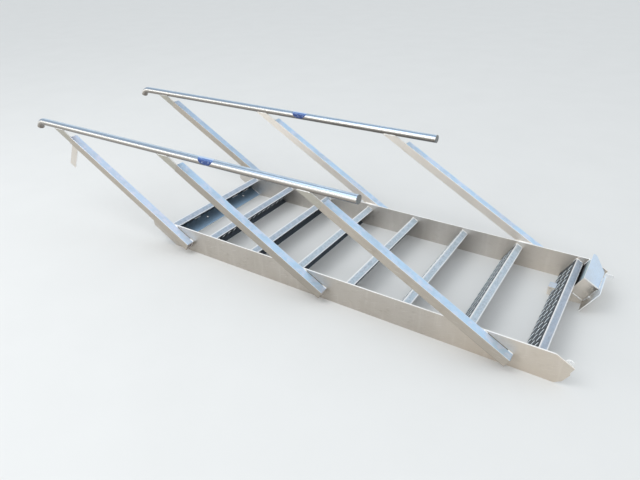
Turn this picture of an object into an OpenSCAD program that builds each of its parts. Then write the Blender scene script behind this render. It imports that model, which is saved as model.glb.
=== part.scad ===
// Lightweight aluminium boarding stair with handrails, lying on the lower edges of its stringers.
// X runs along the stringers from the top end to the foot end, Y across the stair, Z up.
// The origin is under the middle of the stair. In use the stair stands at pitch_angle,
// and everything that is then level or upright is placed with the module in_use().

/* [Flight] */
// Clear width between the two stringers
clear_width = 657; // [560:1:760]
// Number of treads
tread_count = 8; // [6:1:10]
// Distance from nosing to nosing along the stringers
tread_pitch = 250; // [235:1:265]
// Angle of the stair in use, from level
pitch_angle = 60.7; // [60:0.1:61.5]

/* [Stringers] */
// Height of the flat bar that a stringer is cut from
stringer_height = 120; // [116:1:130]
// Thickness of a stringer
stringer_t = 5; // [4:0.5:8]
// Level face behind the top nosing that rests against the landing
back_reach = 81; // [75:1:90]
// Length of stringer above the top nosing, along the stair
top_overrun = 112; // [100:1:130]
// Upright front cut at the foot, ahead of the bottom nosing
toe_reach = 40; // [36:1:50]
// Height of the bottom tread above the ground in use
bottom_rise = 127; // [120:1:132]
// Height of a toe's tip above the ground in use
toe_tip = 8; // [4:1:10]
// Bevel between the foot and the lower edge of a stringer
heel_bevel = 18; // [10:1:22]

/* [Treads] */
// Depth of a tread from its nosing to its back edge
tread_depth = 108; // [100:1:109]
// Thickness of the tread sheet
tread_t = 3; // [2:0.5:4]
// Height of a nosing above the lower edge of the stringer
nosing_rise = 107; // [107:1:112]
// Height of the folded front lip
nosing_lip = 32; // [26:1:36]
// Height of the folded back lip
back_lip = 26; // [18:1:26]
// Distance between the slots along a tread
slot_pitch = 40; // [36:1:46]
// Rows of slots on a full tread
slot_rows = 3; // [2:1:3]
// Length of a slot from back to front
slot_length = 19; // [14:1:24]
// Width of a slot along the tread
slot_width = 16; // [12:1:20]
// Sideways slant of a slot from its back to its front
slot_slant = 14; // [8:1:20]

/* [End plate] */
// Thickness of the upright plate that bolts to the landing
end_plate_t = 5; // [4:0.5:8]
// Diameter of its bolt holes
bolt_hole_d = 11; // [9:0.5:13]
// Distance from a stringer to the first bolt hole
bolt_edge = 97; // [80:1:120]
// Distance between the two bolt holes of a pair
bolt_gap = 168; // [140:1:200]
// Height of the bolt holes above the lower edge of the plate
bolt_height = 47; // [30:1:52]

/* [Posts] */
// Posts on each side
post_count = 3; // [2:1:3]
// Width of a post across the stair
post_width = 40; // [35:1:45]
// Depth of a post along the stair
post_depth = 38; // [32:1:40]
// Wall of a post
post_wall = 3; // [2:0.5:4]
// Distance from post to post, measured level in use
post_pitch = 373; // [355:1:385]
// Front of the top post, ahead of the top nosing
first_post = 33; // [30:1:50]
// Length of a post
post_length = 850; // [800:1:900]
// Height of the front lower corner of a post above the lower edge of its stringer
post_foot = 57; // [45:1:65]

/* [Handrails] */
// Diameter of a handrail tube
rail_d = 36; // [32:1:42]
// Wall of a handrail tube
rail_wall = 3; // [2:0.5:4]
// Height of the rail's axis above the front top corner of a post
rail_rise = 40; // [36:1:60]
// Length of rail ahead of the front post, along the rail
rail_front = 138; // [100:1:220]
// Length of rail behind the top post, along the rail
rail_back = 207; // [160:1:240]
// Radius of the bend that turns a rail level at its top end
bend_r = 60; // [45:1:80]
// Thickness of a rail bracket
bracket_t = 5; // [4:0.5:8]

/* [Landing tie] */
// Length of the flat bar that ties the left top post to the landing
tie_length = 150; // [120:1:200]
// Height of the tie
tie_height = 41; // [30:1:50]
// Thickness of the tie
tie_t = 5; // [4:0.5:8]

/* [Foot bracket] */
// Width of the foot box, from the right stringer
box_width = 162; // [130:1:180]
// Depth of the foot box
box_depth = 85; // [70:1:92]
// Height of the foot box
box_height = 68; // [55:1:72]
// Wall of the foot box and of its face plate
box_wall = 4; // [3:0.5:5]
// Height of the box's top below the bottom tread
box_drop = 38; // [37:1:42]
// Width that the face plate reaches past the stringer
ear_reach = 40; // [25:1:45]
// Width of the sole plate
sole_width = 141; // [120:1:160]
// Depth of the sole plate
sole_depth = 116; // [98:1:118]
// Thickness of the sole plate
sole_t = 4; // [3:0.5:6]
// Overhang of the sole plate ahead of the face plate
sole_lip = 17; // [10:1:20]
// Overhang of the sole plate past the box's inner end
sole_overhang = 62; // [50:1:70]
// Height and width of the runner behind the foot box
runner_size = 40; // [30:1:42]
// Reach of the runner behind the bottom nosing, along the stringers
runner_reach = 68; // [60:1:90]

/* [Lugs] */
// Thickness of the two lugs at the foot
lug_t = 4; // [3:0.5:6]
// Diameter of the rounded eye at the left toe
eye_d = 29; // [24:1:34]
// Diameter of the hole in the eye
eye_hole_d = 9.5; // [8:0.5:10.5]
// Height of the eye's middle above the ground in use
eye_height = 30; // [26:1:34]
// Reach of the tongue ahead of the sole plate, along the stringers
tongue_reach = 25; // [18:1:30]
// Width of the tongue
tongue_width = 15; // [12:1:18]

/* [Hidden] */

$fn = 48;
c = cos(pitch_angle);
s = sin(pitch_angle);

// Level and upright distances from the top nosing, in use
function along(h, v) = h*c - v*s;
function above(h, v) = nosing_rise + h*s + v*c;
function level_at(x, z) = x*c + (z - nosing_rise)*s;
function upright_at(x, z) = (z - nosing_rise)*c - x*s;
function place(h, v) = [along(h, v), above(h, v)];

// Foot end in use
run = (tread_count - 1)*tread_pitch;
toe_level = run*c + toe_reach;
ground_level = -run*s - bottom_rise;
rail_r = rail_d/2;
sole_front = toe_level + box_wall + sole_lip;

// Posts and rails
post_front = [for (i = [0:post_count - 1]) first_post + i*post_pitch];
post_base = [for (h = post_front) (post_foot - nosing_rise - h*s)/c];
post_y = stringer_t + post_width/2;
rail_z = post_foot + post_length*c + rail_rise;
rail_x1 = along(post_front[post_count - 1], post_base[post_count - 1] + post_length) + rail_front;
rail_x0 = along(post_front[0] - post_depth, post_base[0] + post_length) - rail_back;

// Overall length, which puts the origin under the middle
tongue_x = along(sole_front, -run*s - box_drop - box_height - sole_t) + tongue_reach;
toe_x = max(along(toe_level, ground_level + toe_tip), tongue_x);
mouth_x = rail_x0 - (bend_r + rail_r)*s;
mid_x = (toe_x + mouth_x)/2;

// Places the stair's own X and Z so that the origin lies under its middle
module stored() {
    translate([-mid_x, 0, 0]) children();
}

// Turns level X and upright Z, measured from the top nosing, into the stored position
module in_use() {
    stored() translate([0, 0, nosing_rise]) rotate([0, -pitch_angle, 0]) children();
}

// A flat profile in X and Z, given a thickness across the stair from y on
module upright_plate(y, t) {
    translate([0, y + t, 0]) rotate([90, 0, 0]) linear_extrude(t) children();
}

// Outline of a stringer: square top end, upright back cut, upright toe with a stepped tip, level foot
module stringer_outline() {
    back_x = (-back_reach + nosing_rise*s)/c;
    back_top_z = nosing_rise + (-back_reach + top_overrun*c)/s;
    toe_top_x = (toe_level - (stringer_height - nosing_rise)*s)/c;
    heel_x = -(ground_level + nosing_rise*c)/s;
    heel_level = level_at(heel_x, 0) + heel_bevel;
    polygon([
        [back_x, 0],
        [-top_overrun, back_top_z],
        [-top_overrun, stringer_height],
        [toe_top_x, stringer_height],
        place(toe_level, ground_level + toe_tip),
        place(toe_level - 3*toe_tip, ground_level + 0.75*toe_tip),
        place(toe_level - 4*toe_tip, ground_level),
        place(heel_level, ground_level),
        [heel_x - 0.8*heel_bevel, 0]
    ]);
}

module stringer(y) {
    color("silver") stored() upright_plate(y, stringer_t) stringer_outline();
}

// Four corners of one slanted slot about its middle
function slot_corners(x, y) = let (l = slot_length/2, w = slot_width/2, k = slot_slant/2)
    [[x - l, y - k - w], [x + l, y + k - w], [x + l, y + k + w], [x - l, y - k + w]];

// A tread is one folded sheet: slotted top, front lip and back lip
module tread(i) {
    depth = (i == 1) ? back_reach - end_plate_t : tread_depth;
    rows = (i == 1) ? slot_rows - 1 : slot_rows;
    color("gainsboro") in_use() translate([(i - 1)*tread_pitch*c, 0, -(i - 1)*tread_pitch*s]) {
        difference() {
            translate([-depth, -clear_width/2, -tread_t]) cube([depth, clear_width, tread_t]);
            translate([0, 0, -2*tread_t]) linear_extrude(3*tread_t) slots_only(depth, rows);
        }
        translate([-tread_t, -clear_width/2, -nosing_lip]) cube([tread_t, clear_width, nosing_lip - tread_t]);
        if (i > 1)
            translate([-depth, -clear_width/2, -back_lip]) cube([tread_t, clear_width, back_lip - tread_t]);
    }
}

// The slots alone, as one flat pattern
module slots_only(depth, rows) {
    columns = 1 + floor((clear_width - slot_width - slot_slant - slot_pitch/4)/slot_pitch);
    first_y = -(columns - 1)*slot_pitch/2;
    row_pitch = depth/rows;
    slots = [for (r = [0:rows - 1]) for (n = [0:columns - 1])
        slot_corners(-(r + 0.5)*row_pitch, first_y + n*slot_pitch)];
    points = [for (hole = slots) for (p = hole) p];
    paths = [for (i = [0:len(slots) - 1]) [for (j = [0:3]) i*4 + j]];
    polygon(points, paths);
}

// Upright plate between the stringers' back cuts, under the top tread
module end_plate() {
    low = upright_at((-back_reach + nosing_rise*s)/c, 0);
    height = -tread_t - low;
    holes = [for (side = [-1, 1]) for (y = [bolt_edge, bolt_edge + bolt_gap]) side*(clear_width/2 - y)];
    color("silver") in_use() difference() {
        translate([-back_reach, -clear_width/2, low]) cube([end_plate_t, clear_width, height]);
        for (y = holes)
            translate([-back_reach - 1, y, low + bolt_height]) rotate([0, 90, 0])
                cylinder(h = end_plate_t + 2, d = bolt_hole_d);
    }
}

// Square tube, open at both ends, on the outer face of a stringer; side is -1 left, 1 right
module post(i, side) {
    h = post_front[i];
    y = side*(clear_width/2 + post_y);
    color("silver") in_use() translate([h - post_depth, y - post_width/2, post_base[i]]) difference() {
        cube([post_depth, post_width, post_length]);
        translate([post_wall, post_wall, -1])
            cube([post_depth - 2*post_wall, post_width - 2*post_wall, post_length + 2]);
    }
}

// Flat bracket from a post's open top to the rail: it lies on the inside of the post's left wall,
// sits with a shoulder on the post's rear wall, and its inner top edge meets the tube
module rail_bracket(i, side) {
    h1 = post_front[i] - post_wall;
    h0 = post_front[i] - post_depth;
    shoulder = post_base[i] + post_length;
    root = shoulder - 1.5*post_depth;
    off_axis = min(post_width/2 - post_wall - bracket_t, 0.9*rail_r);
    under = rail_z - sqrt(rail_r*rail_r - off_axis*off_axis);
    top0 = (under - nosing_rise - h0*s)/c;
    top1 = (under - nosing_rise - h1*s)/c;
    y = side*(clear_width/2 + post_y) - post_width/2 + post_wall;
    color("silver") in_use() upright_plate(y, bracket_t)
        polygon([[h0 + post_wall, root], [h1, root], [h1, top1], [h0, top0],
            [h0, shoulder], [h0 + post_wall, shoulder]]);
}

// Straight handrail tube along the stringers
module handrail(side) {
    color("silver") stored() translate([rail_x0, side*(clear_width/2 + post_y), rail_z]) rotate([0, 90, 0])
        difference() {
            cylinder(h = rail_x1 - rail_x0, r = rail_r);
            translate([0, 0, -1]) cylinder(h = rail_x1 - rail_x0 + 2, r = rail_r - rail_wall);
        }
}

// Bent end of a handrail: it turns the tube level in use and is open at its mouth
module rail_bend(side) {
    color("silver") stored() translate([rail_x0, side*(clear_width/2 + post_y), rail_z - bend_r])
        rotate([90, 0, 0]) rotate([0, 0, 90]) rotate_extrude(angle = pitch_angle)
            translate([bend_r, 0]) difference() {
                circle(r = rail_r);
                circle(r = rail_r - rail_wall);
            }
}

// Plug in the lower end of a handrail
module rail_plug(side) {
    color("dimgray") stored() translate([rail_x1, side*(clear_width/2 + post_y), rail_z]) rotate([0, 90, 0]) {
        cylinder(h = rail_wall, r = rail_r);
        translate([0, 0, -rail_r]) cylinder(h = rail_r, r = rail_r - rail_wall - 0.1);
    }
}

// Flat bar behind the left top post that ties the rail to the landing
module landing_tie() {
    top = post_base[0] + post_length;
    back = post_front[0] - post_depth;
    color("silver") in_use() upright_plate(-clear_width/2 - post_y - tie_t/2, tie_t)
        translate([back - tie_length, top - tie_height]) square([tie_length, tie_height]);
}

// Levels of the foot bracket in use
box_top = -run*s - box_drop;
box_low = box_top - box_height;
box_y0 = clear_width/2 - box_width;
sole_y0 = box_y0 - sole_overhang;
bolt_level = sole_front - 0.6*sole_depth;
bolt_y = box_y0 - bolt_hole_d - 2;

// Nosing of the bottom tread in use
last_level = run*c;
last_upright = -run*s;
beyond = 2*tread_pitch;

// Short box section across the foot, welded to the inner face of the right stringer
module foot_box() {
    color("lightsteelblue") in_use() difference() {
        translate([toe_level - box_depth, box_y0, box_low]) cube([box_depth, box_width, box_height]);
        translate([toe_level - box_depth + box_wall, box_y0 + box_wall, box_low + box_wall])
            cube([box_depth - 2*box_wall, box_width - box_wall + 1, box_height - 2*box_wall]);
    }
}

// Face plate over the front of the foot box and the stringer's toe, with a rounded ear outside
module foot_face_plate() {
    y1 = clear_width/2 + stringer_t + ear_reach;
    low_y = clear_width/2 - 0.8*ear_reach;
    ear_low = box_low + 0.75*box_height;
    r = ear_reach/4;
    slope = atan2(ear_low - box_low, y1 - low_y);
    cut = r*tan(45 - slope/2);
    color("lightsteelblue") in_use() translate([toe_level, 0, 0]) rotate([90, 0, 90])
        linear_extrude(box_wall) {
            polygon([[box_y0, box_low], [low_y, box_low],
                [y1 - cut*cos(slope), ear_low - cut*sin(slope)], [y1, ear_low + cut],
                [y1, box_top - r], [y1 - r, box_top], [box_y0, box_top]]);
            translate([y1 - r, ear_low + cut]) circle(r = r);
            translate([y1 - r, box_top - r]) circle(r = r);
        }
}

// Sole plate under the foot box
module sole_plate() {
    color("silver") in_use() difference() {
        translate([sole_front - sole_depth, sole_y0, box_low - sole_t])
            cube([sole_depth, sole_width, sole_t]);
        translate([bolt_level, bolt_y, box_low - sole_t - 1])
            cylinder(h = sole_t + 2, d = bolt_hole_d);
    }
}

// Bolt through the sole plate's free margin
module sole_bolt() {
    color("dimgray") in_use() translate([bolt_level, bolt_y, box_low]) {
        cylinder(h = 6, d = 17, $fn = 6);
        translate([0, 0, -sole_t]) cylinder(h = sole_t + 1, d = bolt_hole_d - 0.6);
    }
}

// A strip of the runner's section, longer than the runner
module runner_strip() {
    x0 = along(last_level, last_upright) - runner_reach;
    upright_plate(box_y0, runner_size) translate([x0, 0]) square([runner_reach + beyond, runner_size]);
}

// Bar from the foot box to the underside of the bottom tread, along the lower edge of the stringers
module runner() {
    back = last_level - tread_depth + tread_t;
    color("silver") intersection() {
        stored() runner_strip();
        in_use() translate([back, box_y0, box_low])
            cube([toe_level - box_depth - back, runner_size, last_upright - tread_t - box_low]);
    }
}

// End of the same bar behind the bottom tread
module runner_stub() {
    back = last_level - tread_depth;
    color("silver") intersection() {
        stored() runner_strip();
        in_use() upright_plate(box_y0, runner_size)
            polygon([[back, last_upright - beyond], [back, last_upright], [last_level, last_upright],
                [last_level, last_upright + beyond], [back - beyond, last_upright + beyond],
                [back - beyond, last_upright - beyond]]);
    }
}

// Lug with a rounded eye at the toe, flat on the inner face of the left stringer
module foot_eye() {
    r = eye_d/2;
    hole_level = toe_level + eye_hole_d/2 + 1;
    v = ground_level + eye_height;
    color("silver") in_use() difference() {
        upright_plate(-clear_width/2, lug_t) translate([toe_level, v]) {
            circle(r = r);
            translate([-1.15*r, -r]) square([1.15*r, eye_d]);
        }
        translate([hole_level, -clear_width/2 - 1, v]) rotate([-90, 0, 0])
            cylinder(h = lug_t + 2, d = eye_hole_d);
    }
}

// Flat tongue on the sole plate's inner front corner, with a round end
module foot_tongue() {
    r = tongue_width/2;
    z = above(sole_front, box_low) + r/2;
    color("silver") stored() upright_plate(sole_y0 + sole_width, lug_t) translate([tongue_x - r, z]) {
        circle(r = r);
        translate([-tongue_reach, -r]) square([tongue_reach, tongue_width]);
    }
}

stringer(-clear_width/2 - stringer_t);  // stringer_left
stringer(clear_width/2);  // stringer_right
end_plate();
for (i = [1:tread_count])
    tread(i);
for (i = [1:post_count]) {
    post(i - 1, -1);
    post(i - 1, 1);
    rail_bracket(i - 1, -1);
    rail_bracket(i - 1, 1);
}
handrail(-1);  // handrail_left
handrail(1);  // handrail_right
rail_bend(-1);  // rail_bend_left
rail_bend(1);  // rail_bend_right
rail_plug(-1);  // rail_plug_left
rail_plug(1);  // rail_plug_right
landing_tie();
foot_box();
foot_face_plate();
sole_plate();
runner();
runner_stub();
sole_bolt();
foot_eye();
foot_tongue();
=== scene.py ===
# %% [markdown]
# # An aluminium boarding stair, lying on the edges of its side bars
# The stair is a welded frame: two flat bars, eight folded treads with slots, six upright tubes and
# two handrails. The solids arrive finished and fixed, so this lesson is about what turns them into
# metal: broken edges, weld beads, raised ridges, and finishes that change over a surface.

# %% Load the frame
import math
import bpy
import numpy as np
from mathutils import Matrix, Vector


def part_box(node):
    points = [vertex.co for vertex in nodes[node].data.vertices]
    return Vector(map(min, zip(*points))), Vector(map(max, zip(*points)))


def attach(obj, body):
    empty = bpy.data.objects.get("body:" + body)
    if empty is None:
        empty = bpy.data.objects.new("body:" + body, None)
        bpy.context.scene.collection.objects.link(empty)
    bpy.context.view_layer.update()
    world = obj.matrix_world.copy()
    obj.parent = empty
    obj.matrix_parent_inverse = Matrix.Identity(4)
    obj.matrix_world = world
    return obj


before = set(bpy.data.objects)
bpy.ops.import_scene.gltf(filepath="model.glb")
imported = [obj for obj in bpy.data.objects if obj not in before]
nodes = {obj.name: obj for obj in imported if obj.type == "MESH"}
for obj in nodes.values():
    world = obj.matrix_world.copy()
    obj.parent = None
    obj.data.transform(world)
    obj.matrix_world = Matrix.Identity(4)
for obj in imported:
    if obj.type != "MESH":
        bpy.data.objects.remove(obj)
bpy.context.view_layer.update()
print(len(nodes), "solids in the frame")

# %% [markdown]
# ## Two directions to work in
# The stair is stored flat, but its posts, brackets and treads are upright or level only in use. So a
# place on them is easiest to give as a level and an upright distance from the top nosing, the front
# edge of the top tread. One function turns these into the stored position, for whole arrays. All
# lengths are in metres.

# %% Level and upright distances
PITCH = math.radians(60.7)
COS = math.cos(PITCH)
SIN = math.sin(PITCH)
LEVEL = Vector((COS, 0.0, SIN))
UPRIGHT = Vector((-SIN, 0.0, COS))

TREADS = 8
TREAD_STEP = 0.250  # from nosing to nosing, along the side bars
LIP = 0.032  # height of a tread's front lip

tread_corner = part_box("tread_1")[1]
NOSING_X = tread_corner[0] - LIP * SIN  # the lip's lower edge reaches furthest in X
NOSING_Z = tread_corner[2]
HALF = tread_corner[1]  # half the width between the side bars


def in_use(level, y, upright, tread=1):
    """Stored position: a tread's nosing plus level and upright distances, turned by the pitch."""
    level, y, upright = np.broadcast_arrays(np.asarray(level, float), y, upright)
    x = NOSING_X + (tread - 1) * TREAD_STEP + level * COS - upright * SIN
    z = NOSING_Z + level * SIN + upright * COS
    return np.stack([x, y, z], axis=-1)


def upright_to(z, level):
    """Upright distance at which a line at this level distance reaches the stored height z."""
    return (z - NOSING_Z - level * SIN) / COS


print("half width", round(HALF, 4), "and top nosing at x", round(NOSING_X, 4))

# %% [markdown]
# ## Camera
# The camera stands where the photographer stood: beside the foot end, held at chest height. Its
# place and turn come from fitting the stair's own edges to the picture. A camera looks along its
# own negative Z, so its turning matrix is built from right, up and back.

# %% Place the camera
def view_axes(yaw, tilt, roll):
    """Right, up and back of a camera that looks along yaw from +Y and down by tilt.
    roll then turns right and up about its line of sight."""
    ahead = Vector((math.sin(yaw) * math.cos(tilt), math.cos(yaw) * math.cos(tilt), -math.sin(tilt)))
    right = Vector((math.cos(yaw), -math.sin(yaw), 0.0))
    down = ahead.cross(right)
    turned = right * math.cos(roll) + down * math.sin(roll)
    return turned, right * math.sin(roll) - down * math.cos(roll), -ahead


camera_data = bpy.data.cameras.new("camera")
camera_data.lens = 29.96
camera_data.sensor_width = 36.0
camera = bpy.data.objects.new("camera", camera_data)
bpy.context.scene.collection.objects.link(camera)
right, up, back = view_axes(yaw=-0.597167, tilt=0.528494, roll=0.036630)
turn = Matrix((right, up, back)).transposed().to_4x4()
camera.matrix_world = Matrix.Translation((NOSING_X + 1.9139, -1.8338, 1.3421)) @ turn
bpy.context.scene.camera = camera
print("camera looks along", [round(v, 3) for v in -back])

# %% [markdown]
# ## Shader maths as plain expressions
# A web of nodes is hard to read. So a small class wraps one output of a node, and the usual signs
# add the Math nodes: `1 - mask` or `grain * 0.3 + dirt` then say what they do. Only values that
# change over the surface go through it.

# %% A value that changes over the surface
class Value:
    """One output socket of a node. Sums, differences, products and powers of it add Math nodes."""

    def __init__(self, finish, socket):
        self.finish = finish
        self.socket = socket

    def math(self, operation, *others):
        """A Math node with this value in its first socket and the others in the next ones."""
        inputs = dict(enumerate((self, *others)))
        return self.finish.add("ShaderNodeMath", {"operation": operation}, inputs)

    def __add__(self, other):
        return self.math("ADD", other)

    def __sub__(self, other):
        return self.math("SUBTRACT", other)

    def __mul__(self, other):
        return self.math("MULTIPLY", other)

    def __pow__(self, other):
        return self.math("POWER", other)

    def __rsub__(self, other):
        """A plain number minus this value."""
        return self.finish.add("ShaderNodeMath", {"operation": "SUBTRACT"}, {0: other, 1: self})

    def above(self, start, end):
        """0 below start and 1 above end, with a smooth step between."""
        smooth = {"interpolation_type": "SMOOTHSTEP"}
        inputs = {"Value": self, "From Min": start, "From Max": end}
        return self.finish.add("ShaderNodeMapRange", smooth, inputs, "Result")

    def below(self, start, end):
        """1 below start and 0 above end."""
        return 1.0 - self.above(start, end)

    def size(self):
        """The value without its sign."""
        return self.math("ABSOLUTE")

    def wrapped(self, step):
        """The value brought into -step/2..step/2 by whole steps, so that a mark repeats."""
        return self.math("WRAP", step / 2, -step / 2)

    def limited(self):
        """Held between 0 and 1."""
        return self.finish.add("ShaderNodeClamp", {}, {"Value": self})


print("Value:", [name for name in vars(Value) if name[0] != "_"])

# %% [markdown]
# ## A finish
# Every finish here has the same parts: a colour and a roughness that vary, and a fine relief. The
# class below owns one material and adds nodes to it. Patterns read Object coordinates, in metres.
# As all pieces lie at the origin, a pattern has the same scale on every piece and stays put when
# the camera moves.

# %% One material and its nodes
class Finish:
    """A material with a Principled shader. A plain colour is three numbers, red, green and blue."""

    def __init__(self, name):
        self.material = bpy.data.materials.new(name)
        self.material.use_nodes = True
        self.tree = self.material.node_tree
        self.shader = self.tree.nodes["Principled BSDF"]
        self.place = self.add("ShaderNodeTexCoord", {}, {}, "Object")

    def add(self, kind, settings, inputs, output=0):
        """One node. inputs gives a value to link, or a plain number to set, for each socket."""
        node = self.tree.nodes.new(kind)
        for name, value in settings.items():
            setattr(node, name, value)
        for name, value in inputs.items():
            if isinstance(value, Value):
                self.tree.links.new(value.socket, node.inputs[name])
            else:
                node.inputs[name].default_value = value
        return Value(self, node.outputs[output])

    def turned(self, scale, angle=0.0):
        """Object coordinates turned about Y, then scaled. A small scale draws the pattern out."""
        flat = self.add("ShaderNodeMapping", {}, {"Vector": self.place, "Rotation": (0.0, angle, 0.0)})
        return self.add("ShaderNodeMapping", {}, {"Vector": flat, "Scale": scale})

    def noise(self, where, scale, detail=3.0, rough=0.55):
        """Cloudy noise, mostly between 0.3 and 0.7."""
        inputs = {"Vector": where, "Scale": scale, "Detail": detail, "Roughness": rough}
        return self.add("ShaderNodeTexNoise", {}, inputs, "Fac")

    def cells(self, where, scale, output="Distance"):
        """Round cells: the distance from each cell's middle, or each cell's own colour."""
        return self.add("ShaderNodeTexVoronoi", {}, {"Vector": where, "Scale": scale}, output)

    def blend(self, factor, first, second):
        """First colour where factor is 0, second where it is 1. Sockets 6 and 7 are the colours'."""
        first, second = (c if isinstance(c, Value) else (*c, 1.0) for c in (first, second))
        return self.add("ShaderNodeMix", {"data_type": "RGBA"}, {0: factor, 6: first, 7: second}, 2)

    def dot(self, vector, direction):
        """How far a vector reaches along a direction."""
        inputs = {0: vector, 1: tuple(direction)}
        return self.add("ShaderNodeVectorMath", {"operation": "DOT_PRODUCT"}, inputs, "Value")

    def far_along(self, direction, start=0.0):
        """Distance of the surface point along a direction, in metres, counted from start."""
        return self.dot(self.place, direction) - start

    def facing(self, direction):
        """How much the surface faces a direction: 1 straight at it, 0 side on or away."""
        normal = self.add("ShaderNodeTexCoord", {}, {}, "Normal")
        return self.dot(normal, direction).limited()

    def edge_on(self, flat):
        """1 on the narrow faces of a sheet whose broad faces look along flat and against it."""
        return 1.0 - (self.facing(flat) + self.facing([-v for v in flat]))

    def relief(self, height, depth, strength=1.0):
        """A Bump node: height in 0..1 stands for depth metres."""
        inputs = {"Height": height, "Distance": depth, "Strength": strength}
        return self.add("ShaderNodeBump", {}, inputs, "Normal")

    def feed(self, **inputs):
        """Links values to the shader's sockets; an underscore stands for a space."""
        for name, value in inputs.items():
            self.tree.links.new(value.socket, self.shader.inputs[name.replace("_", " ")])

    def set(self, **numbers):
        """Plain numbers on the shader's own sockets."""
        for name, value in numbers.items():
            self.shader.inputs[name].default_value = value


print("Finish:", [name for name in vars(Finish) if name[0] != "_"])

# %% [markdown]
# ## The plainest finish first
# The floor under the stair is pale and matt. Two close tones and one noise are enough: one tone
# would look like paper, and more pattern would take the eye. It shows the class in use: patterns
# first, then a blend of colours, then the shader's sockets.

# %% The floor's finish
floor_finish = Finish("floor")
speckle = floor_finish.noise(floor_finish.place, 3.0, 3.0)
floor_colour = floor_finish.blend(speckle, (0.77, 0.77, 0.76), (0.81, 0.81, 0.80))
floor_finish.feed(Base_Color=floor_colour)
floor_finish.set(Roughness=0.9)
print("floor finish:", [node.bl_label for node in floor_finish.tree.nodes])

# %% [markdown]
# ## Mill-finish aluminium
# Sheet and bar come from the mill with fine lines along the rolling direction and a dull oxide.
# After years outside, upright faces carry warm grime, upper faces are washed to a bluish white, and
# The colour is mixed from a tone for each way that a face can look. The side tone is the weathered
# metal; the others are painted light: a sky reflection, bluish white, painted on faces that look up,
# and painted shade on faces that look at the ground. Narrow faces get the tone of a sawn cut, painted
# near white and less metallic so that it also stands in for the edge highlight. Oxide, blotches, mill
# lines and fine scratches vary it.

# %% The aluminium finish
UP = (0.0, 0.0, 1.0)
ALONG = (1.0, 0.0, 0.0)
ACROSS = (0.0, 1.0, 0.0)
LEFT = (0.0, -1.0, 0.0)
CUT_AND_HIGHLIGHT = (0.97, 0.97, 0.96)
GRIME = (0.30, 0.26, 0.21)
METAL = 0.85


def aluminium(name, side, faces, lines, angle=0.0, rough=0.42, grime=0.5, flat=None, marks=()):
    """side is the tone of faces that look sideways; faces gives (direction, tone) for the others,
    which are painted light: the sky reflection and shade that faces of that direction get. lines
    stretches the mill lines and angle turns them in the XZ plane; flat is the normal of the broad
    faces, where the narrow faces are sawn cuts with a painted highlight; marks are drawn last, in
    order."""
    f = Finish(name)
    clouds = f.noise(f.place, 9.0, 4.0)
    stains = f.noise(f.turned((1.0, 1.0, 2.2), angle), 26.0, 5.0, 0.65)
    mill = f.noise(f.turned(lines, angle), 60.0, 2.0)
    specks = f.cells(f.place, 190.0)
    scratch = f.noise(f.turned((3.0, 40.0, 90.0), angle + 0.35), 7.0, 2.0).above(0.66, 0.70)
    tone, dry = side, 1.0
    # Painted light: each tone stands for the sky reflection and shade that faces of its direction get.
    for direction, colour in faces:
        turned = f.facing(direction).above(0.45, 0.85)
        tone = f.blend(turned, tone, colour)
        dry = dry - turned * 0.6
    lined = f.blend(mill.above(0.35, 0.75) * 0.16, tone, (0.50, 0.50, 0.50))
    dull = (side[0] * 0.80, side[1] * 0.78, side[2] * 0.76)
    oxide = f.blend(clouds.above(0.40, 0.75) * 0.30, lined, dull)
    blotched = f.blend(stains.above(0.54, 0.80) * grime * dry, oxide, GRIME)
    spotted = f.blend(specks.below(0.03, 0.10) * 0.22, blotched, (0.22, 0.20, 0.18))
    colour = f.blend(scratch * 0.3, spotted, CUT_AND_HIGHLIGHT)
    f.set(Metallic=METAL)
    # Narrow faces: a sawn cut, painted near white and less metallic as a painted edge highlight.
    if flat:
        bare_cut_and_highlight = f.edge_on(flat).above(0.3, 0.8) * (1.0 - stains.above(0.60, 0.80) * 0.25)
        colour = f.blend(bare_cut_and_highlight, colour, CUT_AND_HIGHLIGHT)
        f.feed(Metallic=METAL - bare_cut_and_highlight * 0.65)
    for mark in marks:
        mask, shade = mark(f)
        colour = f.blend(mask, colour, shade)
    roughness = clouds * 0.16 + stains * 0.18 + mill * 0.08 + (rough - 0.18)
    height = mill * 0.5 + stains * 0.4 - scratch * 0.3
    f.feed(Base_Color=colour, Roughness=roughness.limited(), Normal=f.relief(height, 0.00020, 0.5))
    print(name, "has", len(f.tree.nodes), "nodes")
    return f.material


# %% [markdown]
# ## Marks that sit at one place
# Some marks aren't spread by chance: painted shade round the posts' feet, painted light on the side
# bars' inner faces and toe, and painted highlights along the treads' bends. Each mark measures the
# surface point's distance from a known place and turns it into a mask. A distance that is wrapped by
# a step repeats the mark. Distances are counted from the top nosing, level and upright as in use, or
# from the stair's middle.

# %% Distances that marks use
AHEAD = LEVEL
OVER = UPRIGHT
UNDER = -UPRIGHT
NOSING_LEVEL = NOSING_X * COS + NOSING_Z * SIN
NOSING_UP = NOSING_Z * COS - NOSING_X * SIN


def level_from(f, start=0.0):
    """Level distance of the surface point from the top nosing, less start."""
    return f.far_along(LEVEL, NOSING_LEVEL + start)


def up_from(f, start=0.0):
    """Upright distance of the surface point from the top nosing, less start."""
    return f.far_along(UPRIGHT, NOSING_UP + start)


def off_middle(f):
    """Distance to either side of the stair's middle plane."""
    return f.far_along(ACROSS).size()


print("nosing at level", round(NOSING_LEVEL, 4), "and upright", round(NOSING_UP, 4))

# %% [markdown]
# ## Side bars
# The side bars, or stringers, are flat bar on edge. Their outer faces are beige with pale runs,
# which are noise drawn out in height. The inner faces and the toe are paler, which is painted light.
# Painted shade lies round the foot of each post: one round patch, repeated by wrapping the distance
# along the bar, as three patches would need three times the nodes.

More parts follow.
